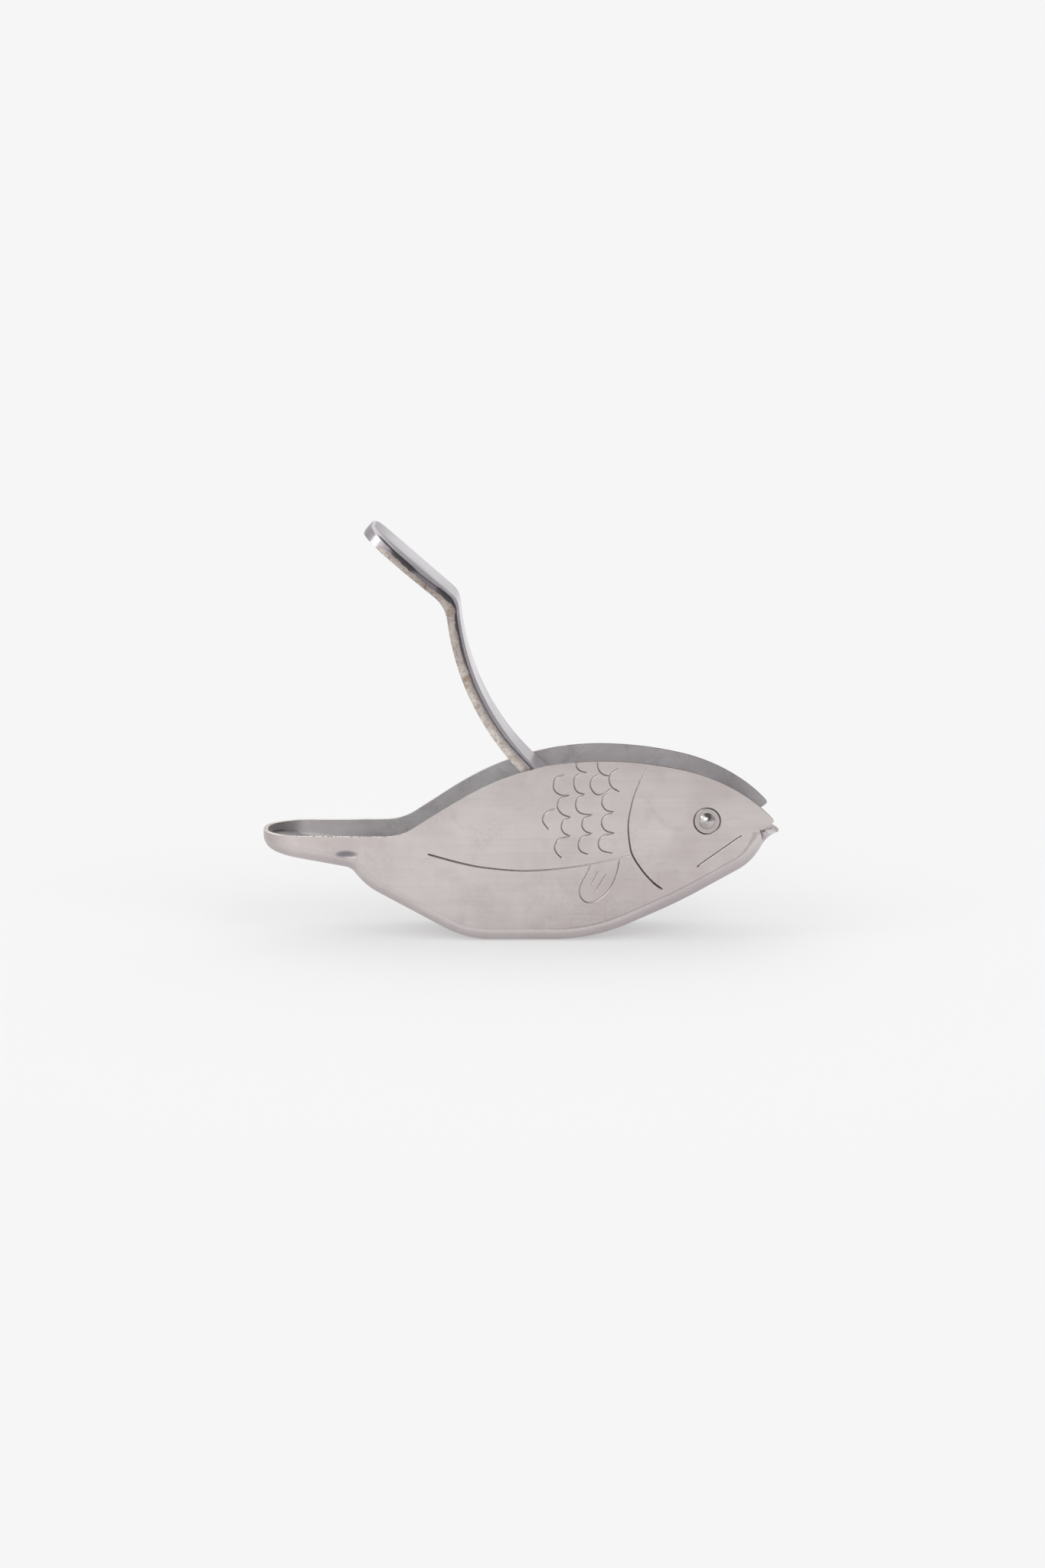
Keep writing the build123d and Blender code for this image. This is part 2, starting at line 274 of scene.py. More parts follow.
# the fish body. Lengths are in mm and angles in degrees. A noise is scale, detail, roughness and
# distortion, patches are a noise and the levels between which they show, and in any other pair
# of values a mask rises from the first to the second
fishBody = {
    "eye": (inMm(hingeAt[0]), inMm(hingeAt[2])),
    "snoutTip": {"round": 0.6, "segments": 3, "crosswise": 0.95, "leastX": 55.0, "leastY": 9.0,
                 "leastZ": 26.5},
    # the fold that the lip springs from: its top, its lean, and where its painted shade shows
    "lipFold": {"top": (52.65, 25.5), "lean": 0.29, "across": ((-0.05, 0.1), (0.1, 1.4)),
                "down": ((-4.2, -2.8), (0.1, 0.5))},
    # the sheet is pinched at the root of the tail; its dark tone there is a painted reflection
    "dimple": {"at": (-40.2, 19.9), "half": (2.5, 0.9), "depth": 0.16, "bulge": 1.6, "tilt": 5.0,
               "facets": (48, 60), "tone": (0.1, 1.4)},
    # which faces are cut edges and which look into the trough; the lip is left as the outside
    "marking": {"nudge": 0.02, "thickest": 1.7, "sideways": 0.5, "upward": 0.25, "room": 12.0,
                "lip": (53.5, 26.5)},
    "sheet": {
        "clean": colour(227, 219, 218), "warm": colour(216, 206, 204),
        "cool": colour(209, 200, 200), "shade": colour(178, 169, 169),
        # the bend's colour is a painted highlight, the under and fold colours are painted shade,
        # and the pinch colour is a painted dark reflection
        "speck": colour(120, 110, 106), "paintedBendHighlight": colour(240, 233, 232),
        "under": colour(204, 194, 198), "foldShade": colour(112, 100, 106),
        "pinchShade": colour(118, 116, 128),
        # brushed along the fish
        "grainStretch": (0.03, 1.0, 1.0), "grain": (900.0, 6.0, 0.7),
        "fineGrain": (2970.0, 3.0, 0.6), "fineShare": 0.6, "grainTone": (0.35, 0.75),
        "grainShow": 0.15, "bumpStrength": 0.5, "bumpDepth": 0.006,
        # clouds, smudges, specks, scratches, and rubbed patches with a fine tooth
        "cloud": (48.0, 5.0, 0.6, 0.5), "cloudTone": (0.36, 0.66),
        "smudges": ((120.0, 5.0, 0.65, 1.5), (0.52, 0.74)), "smudgeShow": 0.55,
        "specks": ((1900.0, 3.0, 0.75), (0.66, 0.78)), "speckShow": 0.45,
        "scratches": ((900.0, 2.0, 0.5), (0.68, 0.76)), "scratchShow": 0.1,
        "scratchStretch": (1.0, 1.0, 0.06), "scratchCloud": (0.5, 0.62),
        "rubs": ((75.0, 3.0, 0.5), (0.5, 0.66)), "rubShow": 0.1,
        "tooth": ((1300.0, 3.0, 0.7), (0.42, 0.62)),
        # by how far the sheet faces down: a painted highlight along its bend, painted shade in
        # the crease above it, and painted shade on the belly
        "bend": ((0.04, 0.16), (0.2, 0.5)), "bendShow": 0.2, "troughBendShow": 0.5,
        "creaseShade": ((0.004, 0.03), (0.06, 0.14)), "creaseShow": 0.1, "headCreaseShow": 0.5,
        "belly": (0.25, 0.7), "throatBelly": (0.1, 0.3), "bellyShow": 0.45,
        # by the place along the fish
        "troughX": (-30, -18), "headX": (-2, 16), "throatX": (18, 40), "throatHides": 0.8,
        # on the outside only: painted shade in the eye's disc and in the lip's fold, a painted
        # dark reflection in the pinch at the tail's root, and a darker tail end
        "marks": True, "discShade": (2.45, 2.85), "discShow": 0.4, "foldShow": 0.85, "pinchShow": 0.8,
        "tailX": (-59, -51), "tailDrift": 8, "tailShow": 0.7,
        "rough": 0.32, "roughGrain": 0.06, "roughCloud": 0.24, "roughSmudge": 0.06,
        "bendPolish": 0.1,
    },
    "rim": {
        "bright": colour(252, 246, 238), "dull": colour(212, 200, 190),
        "worn": colour(92, 78, 71), "pit": colour(70, 58, 50),
        "shear": (1500.0, 3.0, 0.7), "shearStretch": (1.0, 0.12, 0.5), "shearTone": (0.5, 0.6),
        "shearShow": 0.08, "dashShow": 0.85, "dashX": ((-53, -50), (-36, -26)), "farY": (-2, 2),
        "patch": (120.0, 3.0, 0.6), "patchTone": (0.4, 0.6),
        # towards the head the rim is painted dark, a painted shade where it mirrors the dim room,
        # and worn rougher and less metallic
        "wornX": (-2, 14), "wornDrift": 20, "wearAndShadeShow": 0.9, "wornDulls": 0.8,
        "rough": 0.24, "roughShear": 0.2, "roughWorn": 0.2, "gloss": 0.1,
        "bumpStrength": 0.6, "bumpDepth": 0.03,
    },
    # shallow cuts are pale, deep ones dark at the bottom, and the flanks that face up carry a
    # painted highlight
    "groove": {
        "light": colour(206, 195, 194), "dark": colour(104, 92, 97),
        "flankHighlight": colour(246, 240, 238), "depths": (0.01, 0.12), "bite": (1500.0, 3.0, 0.6),
        "biteDepth": 0.05, "lit": (0.26, 0.55), "litShow": 0.8, "rough": 0.18, "roughBite": 0.16,
        "bumpStrength": 0.4, "bumpDepth": 0.01,
    },
    # the cutter and its steps, the share of its depth that a line has at its ends, the eye's
    # ring, and where the flat wall stands
    "engraving": {
        "cutterRadius": 0.24, "facets": 10, "step": 0.8, "scaleStep": 0.48, "endShare": 0.4,
        "scaleDepth": 0.09, "eyeRing": 2.95, "eyeDepth": 0.13, "eyePoints": 44,
        "wall": inMm(halfWidth), "wallLeast": 8.0, "outside": 30.0,
    },
    # each line: its points on the wall, and how deep it starts and ends
    "lines": {
        "lateral": ([(-21.9, 20.1), (-14.8, 18.2), (-9.0, 17.1), (-0.3, 16.4), (8.4, 17.0),
                     (16.1, 18.2), (23.8, 20.0)], 0.17, 0.05),
        "gill": ([(27.6, 40.4), (25.9, 37.4), (24.3, 33.3), (23.4, 29.3), (23.1, 26.4),
                  (23.4, 23.0), (24.1, 20.0), (26.3, 16.5), (28.7, 13.8), (31.2, 11.9)],
                 0.06, 0.18),
        "mouth": ([(38.6, 17.3), (48.6, 24.5)], 0.16, 0.14),
        "fin": ([(14.8, 17.8), (13.7, 15.5), (12.5, 13.1), (12.2, 11.3), (12.7, 10.0),
                 (13.7, 9.2), (15.3, 9.2), (17.5, 10.6), (19.3, 12.8), (20.6, 16.0),
                 (21.2, 19.1)], 0.08, 0.09),
        "finRayBack": ([(16.5, 16.5), (14.8, 13.1)], 0.07, 0.07),
        "finRayFront": ([(18.3, 15.9), (15.7, 11.5)], 0.08, 0.08),
    },
    # the scales stand in columns, each a C open towards the head
    "scales": [
        [(7.0, 30.7), (4.7, 29.8), (3.9, 27.9), (5.4, 25.7)],
        [(9.2, 38.5), (6.8, 37.6), (6.4, 35.2), (7.9, 33.8), (10.2, 33.7)],
        [(10.2, 33.7), (7.9, 33.0), (7.2, 31.2), (8.2, 29.5), (10.4, 28.6)],
        [(10.4, 28.6), (8.6, 28.0), (8.1, 26.4), (8.7, 25.1), (10.3, 24.3)],
        [(10.3, 24.3), (7.6, 23.7), (6.6, 21.9), (7.2, 20.3), (8.5, 19.2)],
        [(11.4, 41.6), (11.5, 40.2), (12.3, 39.3), (14.1, 38.8)],
        [(12.2, 38.7), (11.0, 37.7), (11.0, 35.7), (11.8, 34.4), (13.6, 33.9)],
        [(13.6, 33.9), (11.8, 33.1), (11.3, 31.3), (12.3, 29.7), (15.3, 29.2)],
        [(15.3, 29.2), (13.3, 28.5), (12.7, 26.9), (13.5, 25.5), (15.2, 24.9)],
        [(15.2, 24.9), (12.8, 24.2), (11.9, 22.5), (12.5, 20.9), (14.5, 20.1)],
        [(16.1, 41.6), (16.4, 39.6), (17.4, 38.5), (18.9, 38.1)],
        [(16.5, 38.6), (14.9, 37.4), (14.6, 35.7), (15.8, 34.0), (17.6, 34.1), (19.2, 35.3)],
        [(18.4, 34.2), (17.4, 33.2), (17.2, 31.7), (18.2, 30.3), (20.1, 29.9)],
        [(20.1, 29.9), (17.9, 29.0), (17.1, 27.4), (18.0, 25.7), (20.2, 25.0)],
        [(20.2, 25.0), (17.4, 24.4), (16.4, 22.7), (17.2, 21.1), (19.9, 20.4)],
        [(20.9, 39.9), (19.1, 38.5), (18.8, 37.0), (19.5, 35.5), (21.4, 34.4)],
    ],
}
# inside, the same sheet is painted paler, a painted light that lifts the shaded trough, and it is
# rougher and darker towards the mouth
fishBody["inside"] = dict(
    fishBody["sheet"], clean=colour(248, 246, 247), warm=colour(226, 221, 221),
    cool=colour(194, 193, 198), shade=colour(186, 182, 185), mouth=colour(150, 142, 152),
    marks=False, mouthX=(30, 54), mouthShow=0.32, rough=0.46)


def wornTone(board, look, place, cloud, smudges, grain):
    # the plain sheet with its clouds, smudges, brushing, specks, scratches and rubbed patches
    specks = board.patches(place, look["specks"])
    scratches = board.patches(board.stretch(place, look["scratchStretch"]), look["scratches"])
    scratches = scratches * board.ramp(cloud, look["scratchCloud"])
    rubs = board.patches(place, look["rubs"]) * board.patches(place, look["tooth"])
    tone = board.blend(board.ramp(cloud, look["cloudTone"]), look["clean"], look["warm"])
    tone = board.blend(smudges * look["smudgeShow"], tone, look["cool"])
    brushed = board.ramp(grain, look["grainTone"]) * look["grainShow"]
    tone = board.blend(brushed, tone, look["shade"])
    dark = specks * look["speckShow"] + scratches * look["scratchShow"] + rubs * look["rubShow"]
    return board.blend(dark, tone, look["speck"])


def bentTone(board, look, tone, x, under, bend):
    # painted light and shade where the wall turns under: a highlight along the bend, shade in a
    # faint crease above it, and shade under the belly and the chin
    trough = board.ramp(x, look["troughX"], mm)
    throat = board.ramp(x, look["throatX"], mm)
    head = board.ramp(x, look["headX"], mm)
    # painted highlight along the bend, hidden towards the throat
    bright = bend * (look["bendShow"] + trough * look["troughBendShow"])
    tone = board.blend(bright * (1 - throat * look["throatHides"]), tone, look["paintedBendHighlight"])
    # painted shade in the crease above the bend
    creaseShade = board.band(under, look["creaseShade"])
    creaseShade = creaseShade * (look["creaseShow"] + head * look["headCreaseShow"])
    tone = board.blend(creaseShade, tone, look["shade"])
    # painted shade under the belly, deeper under the chin
    belly = board.ramp(under, look["belly"]) + throat * board.ramp(under, look["throatBelly"])
    return board.blend(belly * look["bellyShow"], tone, look["under"])


def markedTone(board, look, tone, x, z, cloud):
    # painted shade in the eye's disc and in the lip's fold, a painted dark reflection in the
    # pinch at the root of the tail, and darker towards the tail's end
    eyeX, eyeZ = [part * mm for part in fishBody["eye"]]
    toEye = ((x - eyeX) ** 2 + (z - eyeZ) ** 2) ** 0.5
    # painted shade in the eye's disc
    discShade = 1 - board.ramp(toEye, look["discShade"], mm)
    tone = board.blend(discShade * look["discShow"], tone, look["shade"])
    lipFold = fishBody["lipFold"]
    foldX, foldZ = [part * mm for part in lipFold["top"]]
    beyond = x - foldX - (foldZ - z) * lipFold["lean"]
    # painted shade in the lip's fold
    foldShade = board.band(beyond, lipFold["across"], mm) * board.band(z - foldZ, lipFold["down"], mm)
    tone = board.blend(foldShade * look["foldShow"], tone, look["foldShade"])
    dimple = fishBody["dimple"]
    pinchX, pinchZ = [part * mm for part in dimple["at"]]
    wide, tall = [half * mm for half in dimple["half"]]
    away = ((x - pinchX) / wide) ** 2 + ((z - pinchZ) / tall) ** 2
    # painted dark reflection in the pinch
    pinchShade = 1 - board.ramp(away, dimple["tone"])
    tone = board.blend(pinchShade * look["pinchShow"], tone, look["pinchShade"])
    # darker and mottled towards the tail's end
    drift = (cloud - 0.5) * (look["tailDrift"] * mm)
    tailEnd = 1 - board.ramp(x + drift, look["tailX"], mm)
    return board.blend(tailEnd * look["tailShow"], tone, look["shade"])


def brushedSheet(name, look):
    material, board = newMaterial(name)
    place = board.place()
    x, z = board.axes(place, "XZ")
    under = -board.facing("Z")
    bend = board.band(under, look["bend"])
    grainPlace = board.stretch(place, look["grainStretch"])
    grain = board.noise(grainPlace, look["grain"])
    fineGrain = board.noise(grainPlace, look["fineGrain"])
    cloud = board.noise(place, look["cloud"])
    smudges = board.patches(place, look["smudges"])
    tone = wornTone(board, look, place, cloud, smudges, grain)
    tone = bentTone(board, look, tone, x, under, bend)
    if look["marks"]:
        tone = markedTone(board, look, tone, x, z, cloud)
    else:
        mouth = board.ramp(x, look["mouthX"], mm) * look["mouthShow"]
        tone = board.blend(mouth, tone, look["mouth"])
    rough = (look["rough"] + (grain - 0.5) * look["roughGrain"]
             + (cloud - 0.5) * look["roughCloud"] + smudges * look["roughSmudge"]
             - bend * look["bendPolish"])
    height = grain + fineGrain * look["fineShare"]
    finishMetal(board, Base_Color=tone, Roughness=rough,
                Normal=board.bump(height, look["bumpStrength"], look["bumpDepth"]))
    return material


def shearedRim(look):
    # the cut edge of the sheet: bright, with the marks of the shear across it
    material, board = newMaterial("shearedRim")
    place = board.place()
    x, y = board.axes(place, "XY")
    shear = board.noise(board.stretch(place, look["shearStretch"]), look["shear"])
    patch = board.noise(place, look["patch"])
    tone = board.blend(board.ramp(patch, look["patchTone"]), look["bright"], look["dull"])
    # painted shade and wear: brown towards the head, where the rim mirrors the dim room, and
    # there rougher and less metallic; dashed by the shear along the near side of the tail
    worn = board.ramp(x + (patch - 0.5) * (look["wornDrift"] * mm), look["wornX"], mm)
    tone = board.blend(worn * look["wearAndShadeShow"], tone, look["worn"])
    dashed = board.band(x, look["dashX"], mm) * (1 - board.ramp(y, look["farY"], mm))
    pitted = look["shearShow"] + dashed * look["dashShow"]
    tone = board.blend(board.ramp(shear, look["shearTone"]) * pitted, tone, look["pit"])
    rough = look["rough"] + shear * look["roughShear"] + worn * look["roughWorn"]
    finishMetal(board, metal=1 - worn * look["wornDulls"], Base_Color=tone, Roughness=rough,
                Specular_IOR_Level=look["gloss"],
                Normal=board.bump(shear, look["bumpStrength"], look["bumpDepth"]))
    return material


def engravedGroove(look):
    # toned by its depth below the wall, with a painted highlight on the flanks that face up
    material, board = newMaterial("engravedGroove")
    place = board.place()
    bite = board.noise(place, look["bite"])
    y = board.axes(place, "Y")[0]
    depth = fishBody["engraving"]["wall"] * mm - abs(y) + (bite - 0.5) * (look["biteDepth"] * mm)
    tone = board.blend(board.ramp(depth, look["depths"], mm), look["light"], look["dark"])
    # painted highlight on the flanks that face up
    lit = board.ramp(board.facing("Z"), look["lit"]) * look["litShow"]
    tone = board.blend(lit, tone, look["flankHighlight"])
    finishMetal(board, Base_Color=tone, Roughness=look["rough"] + bite * look["roughBite"],
                Normal=board.bump(bite, look["bumpStrength"], look["bumpDepth"]))
    return material


def isSnoutTip(edge):
    # the short upright corners at the ends of both walls
    tip = fishBody["snoutTip"]
    one, two = [vert.co for vert in edge.verts]
    middle = (one + two) / 2
    crosswise = abs((one - two).normalized().y) > tip["crosswise"]
    return (crosswise and middle.x > tip["leastX"] * mm and middle.z > tip["leastZ"] * mm
            and abs(middle.y) > tip["leastY"] * mm)


def smoothLine(points, step):
    # Catmull-Rom through the points, at even steps
    if len(points) == 2:
        ends = [Vector(point) for point in points]
        count = max(2, round((ends[1] - ends[0]).length / step))
        return [ends[0].lerp(ends[1], n / count) for n in range(count + 1)]
    knots = [Vector(point) for point in points]
    knots = [2 * knots[0] - knots[1]] + knots + [2 * knots[-1] - knots[-2]]
    line = []
    for a, b, c, d in zip(knots, knots[1:], knots[2:], knots[3:]):
        count = max(2, round((c - b).length / step))
        for n in range(count):
            t = n / count
            line.append(0.5 * (2 * b + (c - a) * t + (2 * a - 5 * b + 4 * c - d) * t ** 2
                               + (3 * b - a - 3 * c + d) * t ** 3))
    return line + [knots[-2]]


def depthsAlong(count, start, end):
    # the tool comes out of the metal at both ends of a line
    depths = [start + (end - start) * n / (count - 1) for n in range(count)]
    depths[0] *= fishBody["engraving"]["endShare"]
    depths[-1] *= fishBody["engraving"]["endShare"]
    return depths


def engravedPaths():
    # every path on the wall, its depth at each point, and whether it closes
    look = fishBody["engraving"]
    paths = []
    for points, start, end in fishBody["lines"].values():
        line = smoothLine(points, look["step"])
        paths.append((line, depthsAlong(len(line), start, end), False))
    for points in fishBody["scales"]:
        line = smoothLine(points, look["scaleStep"])
        depths = depthsAlong(len(line), look["scaleDepth"], look["scaleDepth"])
        paths.append((line, depths, False))
    eyeX, eyeZ = fishBody["eye"]
    radius, count = look["eyeRing"], look["eyePoints"]
    ring = [(eyeX + radius * math.cos(2 * math.pi * n / count),
             eyeZ + radius * math.sin(2 * math.pi * n / count)) for n in range(count)]
    paths.append((ring, [look["eyeDepth"]] * count, True))
    return paths


def meetWall(tree, x, z, sign):
    # where a line from outside meets that side's wall, and the way the wall faces there
    start = Vector((x * mm, sign * fishBody["engraving"]["outside"] * mm, z * mm))
    return tree.ray_cast(start, Vector((0, -sign, 0)))[:2]


def onWall(tree, x, z, sign):
    # the point of the outer wall at x and z; past its edge, as if the wall went on
    look = fishBody["engraving"]
    hit = meetWall(tree, x, z, sign)[0]
    if hit is None or abs(hit.y) < look["wallLeast"] * mm or hit.y * sign < 0:
        return Vector((x * mm, sign * look["wall"] * mm, z * mm))
    return hit


def cutterTube(form, points, depths, closed, sign):
    # a round cutter that bites the wall along the points, as deep as depths says
    radius = fishBody["engraving"]["cutterRadius"] * mm
    facets = fishBody["engraving"]["facets"]
    rings = []
    last = len(points) - 1
    out = Vector((0, sign, 0))
    for n, point in enumerate(points):
        if closed:
            run = points[(n + 1) % len(points)] - points[n - 1]
        else:
            run = points[min(n + 1, last)] - points[max(n - 1, 0)]
        along = run.normalized()
        aside = along.cross(out).normalized()
        up = aside.cross(along).normalized()
        middle = point + up * (radius - depths[n] * mm)
        ring = []
        for f in range(facets):
            turn = 2 * math.pi * (f + 0.5) / facets
            ring.append(form.verts.new(middle + radius * (aside * math.cos(turn)
                                                          + up * math.sin(turn))))
        rings.append(ring)
    pairs = list(zip(rings, rings[1:]))
    if closed:
        pairs.append((rings[-1], rings[0]))
    for one, two in pairs:
        for f in range(facets):
            g = (f + 1) % facets
            form.faces.new((one[f], one[g], two[g], two[f]))
    if not closed:
        form.faces.new(rings[0][::-1])
        form.faces.new(rings[-1])


def dimpleCutter(form, tree, sign):
    # a flat ball that dents the wall and leaves the sheet's own finish
    dimple = fishBody["dimple"]
    point, out = meetWall(tree, *dimple["at"], sign)
    bulge, deep = dimple["bulge"] * mm, dimple["depth"] * mm
    shrink = math.sqrt(1 - (1 - deep / bulge) ** 2)
    tilt = math.radians(dimple["tilt"])
    along = Vector((math.cos(tilt), 0, -math.sin(tilt)))
    along = (along - out * along.dot(out)).normalized()
    across = out.cross(along)
    wide, tall = [half * mm / shrink for half in dimple["half"]]
    middle = point + out * (bulge - deep)
    grip = Matrix((along * wide, across * tall, out * bulge)).transposed().to_4x4()
    bmesh.ops.create_uvsphere(form, u_segments=dimple["facets"][0],
                              v_segments=dimple["facets"][1], radius=1.0,
                              matrix=Matrix.Translation(middle) @ grip)
    for face in form.faces:
        face.material_index = 1


def addForm(joined, form):
    # puts a cutter among the others, facing outwards
    bmesh.ops.recalc_face_normals(form, faces=form.faces)
    scratch = bpy.data.meshes.new("scratch")
    form.to_mesh(scratch)
    form.free()
    joined.from_mesh(scratch)
    bpy.data.meshes.remove(scratch)


def cutEngraving(body, groove):
    # all the cutters of both walls in one mesh, taken from the body at once
    form = bmesh.new()
    form.from_mesh(body.data)
    tree = BVHTree.FromBMesh(form)
    form.free()
    joined = bmesh.new()
    for sign in (-1, 1):
        for line, depths, closed in engravedPaths():
            form = bmesh.new()
            points = [onWall(tree, x, z, sign) for x, z in line]
            cutterTube(form, points, depths, closed, sign)
            addForm(joined, form)
        form = bmesh.new()
        dimpleCutter(form, tree, sign)
        addForm(joined, form)
    mesh = bpy.data.meshes.new("cutters")
    joined.to_mesh(mesh)
    joined.free()
    mesh.materials.append(groove)
    mesh.materials.append(body.data.materials[0])
    knife = bpy.data.objects.new("knife", mesh)
    bpy.context.scene.collection.objects.link(knife)
    cut = body.modifiers.new("cut", "BOOLEAN")
    cut.object = knife
    cut.operation = "DIFFERENCE"
    cut.solver = "EXACT"
    cut.use_self = True
    cut.material_mode = "TRANSFER"
    applyAll(body)
    bpy.data.objects.remove(knife)


def markSheet(piece, inside, rim):
    # cut edges, which have more metal behind them than the sheet is thick, take the rim finish,
    # and faces that look across the trough the inside finish
    rule = fishBody["marking"]
    lipX, lipZ = [part * mm for part in rule["lip"]]
    nudge = rule["nudge"] * mm
    form = bmesh.new()
    form.from_mesh(piece.data)
    form.normal_update()
    tree = BVHTree.FromBMesh(form)
    insideSlot = len(piece.data.materials)
    rimSlot = insideSlot + 1
    piece.data.materials.append(inside)
    piece.data.materials.append(rim)
    for face in form.faces:
        if face.material_index:
            continue
        middle = face.calc_center_median()
        behind = tree.ray_cast(middle - face.normal * nudge, -face.normal)[3]
        ahead = tree.ray_cast(middle + face.normal * nudge, face.normal)[3]
        thick = behind is not None and behind > rule["thickest"] * mm
        if thick and abs(face.normal.y) < rule["sideways"]:
            face.material_index = rimSlot
        elif middle.x > lipX and middle.z < lipZ:
            continue
        elif ahead is not None and ahead > rule["room"] * mm or face.normal.z > rule["upward"]:
            face.material_index = insideSlot
    form.to_mesh(piece.data)
    form.free()


sheetMetal = brushedSheet("brushedSheet", fishBody["sheet"])
insideMetal = brushedSheet("insideSheet", fishBody["inside"])
grooveMetal = engravedGroove(fishBody["groove"])
body = copyOf("body_shell", "fish_body")
body.data.materials.append(sheetMetal)
roundEdges(body, isSnoutTip, fishBody["snoutTip"])
cutEngraving(body, grooveMetal)
markSheet(body, insideMetal, shearedRim(fishBody["rim"]))
shadeByAngle(body)
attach(body, "body")
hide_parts("body_shell")
print("fish body engraved:", len(body.data.polygons), "faces,",
      [material.name for material in body.data.materials])

# the lever, with lengths and pairs as in the body
pressLever = {
    # as in the part's source: the arm's arc, the strip's thickness, and the under face of the
    # flat pad above the knee
    "armCentre": (41.8, 80.0), "armOuter": 59.6, "strip": 3.0,
    "kneeUnder": (-17.55, 75.7), "kneeBlend": 3.0, "padSlope": 41.0,
    "underRound": {"round": 0.35, "segments": 3, "within": 0.1, "aboveZ": 44.0},
    # the upper face falls away a little towards its rolled edges, ever more from this far out
    "crown": {"from": 6.0, "edge": 10.1, "slope": 0.12, "cuts": (6.0, 7.2, 8.4, 9.4),
              "fadeZ": (42.0, 46.0), "upperShare": 0.5, "snap": 0.0001},
    "finish": {
        "top": colour(234, 229, 235), "haze": colour(214, 208, 214), "hazeTone": (0.35, 0.7),
        # painted shade on the strip's sides, darkest on the pad
        "film": colour(196, 189, 193), "padSideShade": colour(112, 106, 113), "sideShadeShow": 0.9,
        "side": (0.8, 0.97), "upperZ": (50, 70),
        # the blanked edge: smooth where the punch went in, torn below
        "burnish": 0.40, "padBurnish": 0.16, "wave": (260.0, 4.0, 0.65), "waveShare": 0.5,
        "tear": (-0.04, 0.06),
        "torn": colour(246, 237, 231), "tornDark": colour(178, 164, 157),
        "blotch": (520.0, 5.0, 0.75, 0.5), "blotchTone": (0.38, 0.68), "blotchShow": 0.7,
        "upperBlotchShow": 0.3, "upperShow": 0.4, "tearShade": (0.0, 0.35), "tearShow": 0.6,
        "stain": colour(158, 124, 100), "rust": ((230.0, 4.0, 0.65, 1.0), (0.54, 0.68)),
        "rustShow": 0.5, "pit": colour(78, 68, 64), "grit": (1900.0, 4.0, 0.75),
        "pits": (0.52, 0.64), "pitShow": 0.36,
        "cloud": (90.0, 3.0, 0.5), "polish": (700.0, 3.0, 0.6), "polishHeight": 0.05,
        "gritHeight": 0.6, "blotchHeight": 1.2, "bumpStrength": 0.6, "bumpDepth": 0.06,
        "rough": 0.19, "roughCloud": 0.06, "wornX": (-35, -29), "roughWorn": 0.12,
        "roughTorn": 0.24, "roughGrit": 0.2,
    },
}


def stripDepths(x, z):
    # how deep a point lies in the strip, 0 at its top face and 1 at its under face, measured
    # from the arm's arc and from the flat pad; x and z are numbers or wires
    centreX, centreZ = [part * mm for part in pressLever["armCentre"]]
    kneeX, kneeZ = [part * mm for part in pressLever["kneeUnder"]]
    strip = pressLever["strip"] * mm
    slope = math.radians(pressLever["padSlope"])
    toCentre = ((x - centreX) ** 2 + (z - centreZ) ** 2) ** 0.5
    above = (x - kneeX) * math.sin(slope) + (z - kneeZ) * math.cos(slope)
    return 1 - (pressLever["armOuter"] * mm - toCentre) / strip, 1 - above / strip


def kneeReach():
    # the heights in mm between which the arm passes into the pad
    kneeZ, half = pressLever["kneeUnder"][1], pressLever["kneeBlend"] / 2
    return kneeZ - half, kneeZ + half


def tornTone(board, look, place, upper, below, grit, blotch):
    # the torn part of the blanked edge: blotched, darker close to the tear, stained and pitted
    blotches = board.ramp(blotch, look["blotchTone"])
    blotches = blotches * (look["blotchShow"] + upper * look["upperBlotchShow"])
    tone = board.blend(blotches, look["torn"], look["tornDark"])
    tone = board.blend(upper * look["upperShow"], tone, look["tornDark"])
    close = (1 - board.ramp(below, look["tearShade"])) * look["tearShow"]
    tone = board.blend(close, tone, look["tornDark"])
    rust = board.patches(place, look["rust"])
    tone = board.blend(rust * look["rustShow"], tone, look["stain"])
    return board.blend(board.ramp(grit, look["pits"]) * look["pitShow"], tone, look["pit"])


